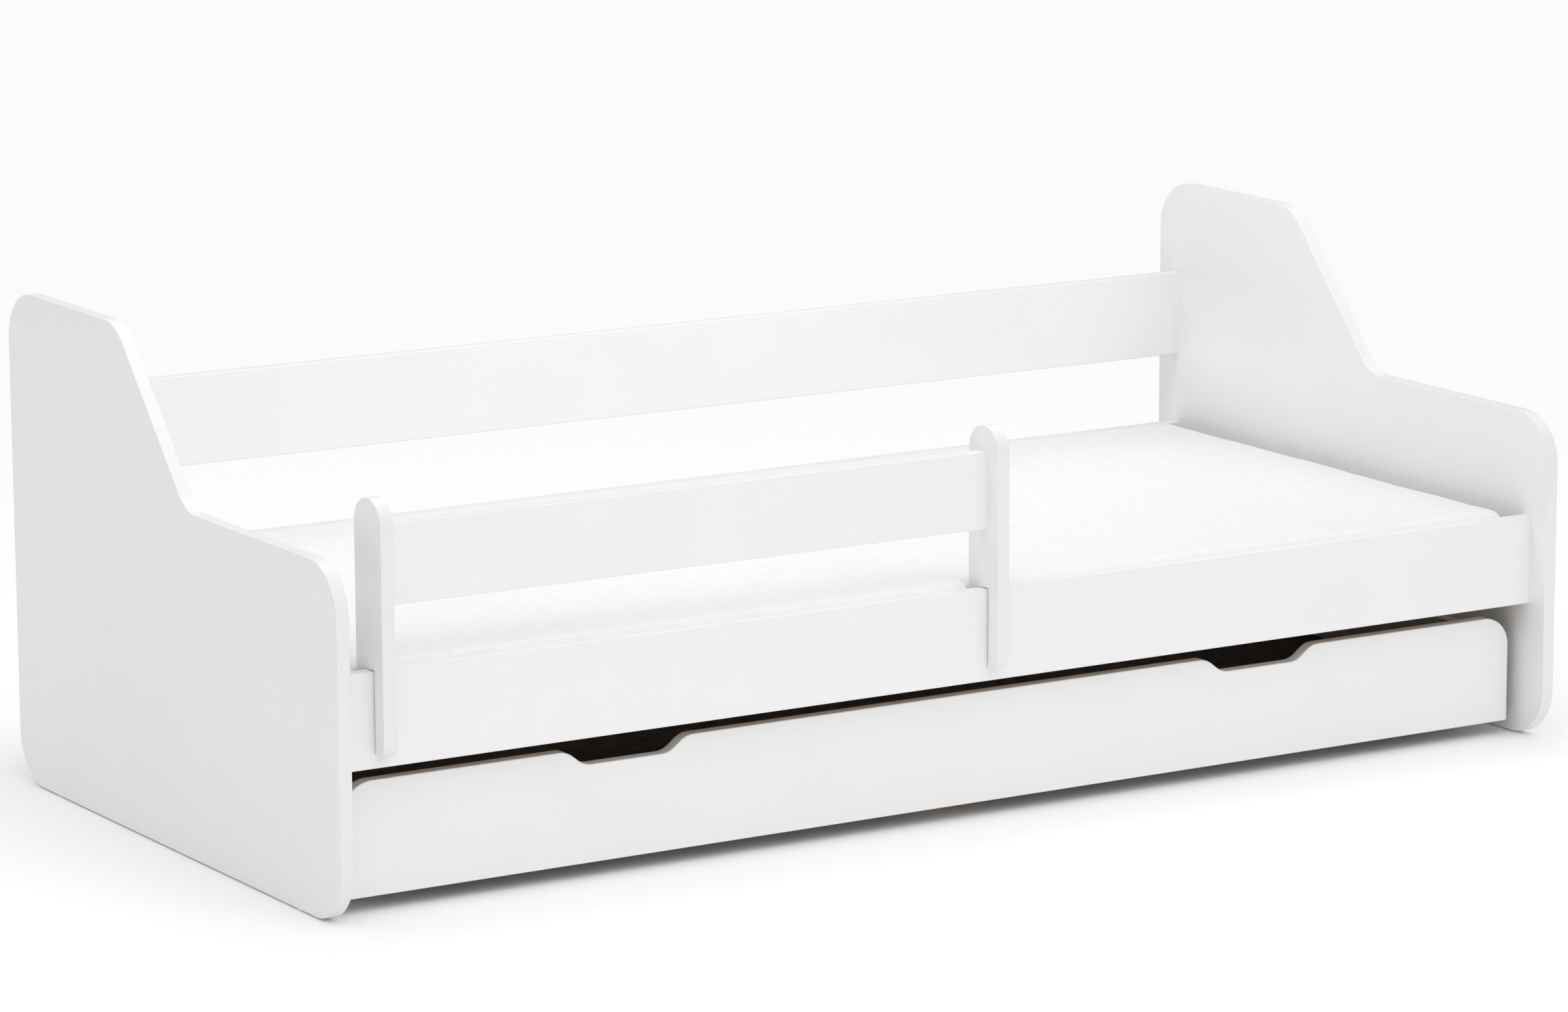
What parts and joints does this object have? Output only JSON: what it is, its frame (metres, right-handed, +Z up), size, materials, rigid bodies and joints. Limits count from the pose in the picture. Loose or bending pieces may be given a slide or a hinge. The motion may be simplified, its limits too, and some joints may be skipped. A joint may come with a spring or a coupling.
{
  "type": "toddler bed",
  "caption": "White board toddler bed with stepped end panels, a slatted base and mattress, a lift-off guard and a wide underbed drawer on castors.",
  "frame": {"origin": "on the floor under the middle of the bed", "axes": "+X along the bed towards the end away from the guard, +Y from the open front to the back, +Z up"},
  "size_m": [1.844, 0.91, 0.656],
  "materials": {
    "white_board": "satin white melamine laminate on particle board",
    "pine": "planed, unvarnished",
    "beech_dowel": "fluted, raw",
    "drawer_base_board": "smooth brown hardboard, unpainted",
    "zinc_fitting": "zinc-plated",
    "screw_steel": "zinc-plated",
    "glide_plastic": "moulded",
    "castor_housing_plastic": "moulded",
    "castor_wheel_plastic": "moulded, slightly glossy",
    "mattress_fabric": "white knitted cotton cover, sewn without piping",
    "mattress_foam": "open-cell foam",
    "tape_webbing": "woven polyester tape"
  },
  "bodies": {
    "frame": {"left_end_panel": "white_board", "right_end_panel": "white_board", "front_side_rail": "white_board", "rear_side_rail": "white_board", "upper_back_rail": "white_board", "frame_cam_bolts": "zinc_fitting", "frame_cam_locks": "zinc_fitting", "frame_dowels": "beech_dowel", "floor_glides": "glide_plastic", "front_slat_batten": "pine", "rear_slat_batten": "pine", "batten_screws": "screw_steel", "slat_01": "pine", "slat_02": "pine", "slat_03": "pine", "slat_04": "pine", "slat_05": "pine", "slat_06": "pine", "slat_07": "pine", "slat_08": "pine", "slat_09": "pine", "slat_10": "pine", "slat_11": "pine", "slat_12": "pine", "slat_13": "pine", "front_slat_tape": "tape_webbing", "rear_slat_tape": "tape_webbing"},
    "mattress": {"mattress_core": "mattress_foam", "mattress_cover": "mattress_fabric"},
    "guard": {"guard_left_post": "white_board", "guard_right_post": "white_board", "guard_board": "white_board", "guard_cam_bolts": "zinc_fitting", "guard_cam_locks": "zinc_fitting"},
    "drawer": {"drawer_front": "white_board", "drawer_left_side": "white_board", "drawer_right_side": "white_board", "drawer_back": "white_board", "drawer_bottom": "drawer_base_board", "drawer_left_bearer": "pine", "drawer_centre_bearer": "pine", "drawer_right_bearer": "pine", "drawer_cam_bolts": "zinc_fitting", "drawer_cam_locks": "zinc_fitting", "drawer_screws": "screw_steel", "castor_housing_front_left": "castor_housing_plastic", "castor_housing_front_right": "castor_housing_plastic", "castor_housing_rear_left": "castor_housing_plastic", "castor_housing_rear_right": "castor_housing_plastic", "castor_axle_front_left": "screw_steel", "castor_axle_front_right": "screw_steel", "castor_axle_rear_left": "screw_steel", "castor_axle_rear_right": "screw_steel", "castor_screws": "screw_steel"},
    "wheel_front_left": {"castor_wheel_front_left": "castor_wheel_plastic"},
    "wheel_front_right": {"castor_wheel_front_right": "castor_wheel_plastic"},
    "wheel_rear_left": {"castor_wheel_rear_left": "castor_wheel_plastic"},
    "wheel_rear_right": {"castor_wheel_rear_right": "castor_wheel_plastic"}
  },
  "joints": [
    {"name": "drawer_slide", "type": "slide", "parent": "frame", "child": "drawer", "axis": [0, -1, 0], "range_m": [0, 0.75]},
    {"name": "guard_lift", "type": "slide", "parent": "frame", "child": "guard", "axis": [0, 0, 1], "range_m": [0, 0.15]},
    {"name": "mattress_lift", "type": "slide", "parent": "frame", "child": "mattress", "axis": [0, 0, 1], "range_m": [0, 0.3]},
    {"name": "wheel_front_left_spin", "type": "hinge", "parent": "drawer", "child": "wheel_front_left", "pos_m": [-0.8, -0.31, 0.02], "axis": [1, 0, 0], "continuous": true},
    {"name": "wheel_front_right_spin", "type": "hinge", "parent": "drawer", "child": "wheel_front_right", "pos_m": [0.8, -0.31, 0.02], "axis": [1, 0, 0], "continuous": true},
    {"name": "wheel_rear_left_spin", "type": "hinge", "parent": "drawer", "child": "wheel_rear_left", "pos_m": [-0.8, 0.29, 0.02], "axis": [1, 0, 0], "continuous": true},
    {"name": "wheel_rear_right_spin", "type": "hinge", "parent": "drawer", "child": "wheel_rear_right", "pos_m": [0.8, 0.29, 0.02], "axis": [1, 0, 0], "continuous": true}
  ],
  "couplings": [
    {"joint": "wheel_front_left_spin", "follows": "drawer_slide", "rad_per_m": 50},
    {"joint": "wheel_front_right_spin", "follows": "drawer_slide", "rad_per_m": 50},
    {"joint": "wheel_rear_left_spin", "follows": "drawer_slide", "rad_per_m": 50},
    {"joint": "wheel_rear_right_spin", "follows": "drawer_slide", "rad_per_m": 50}
  ]
}
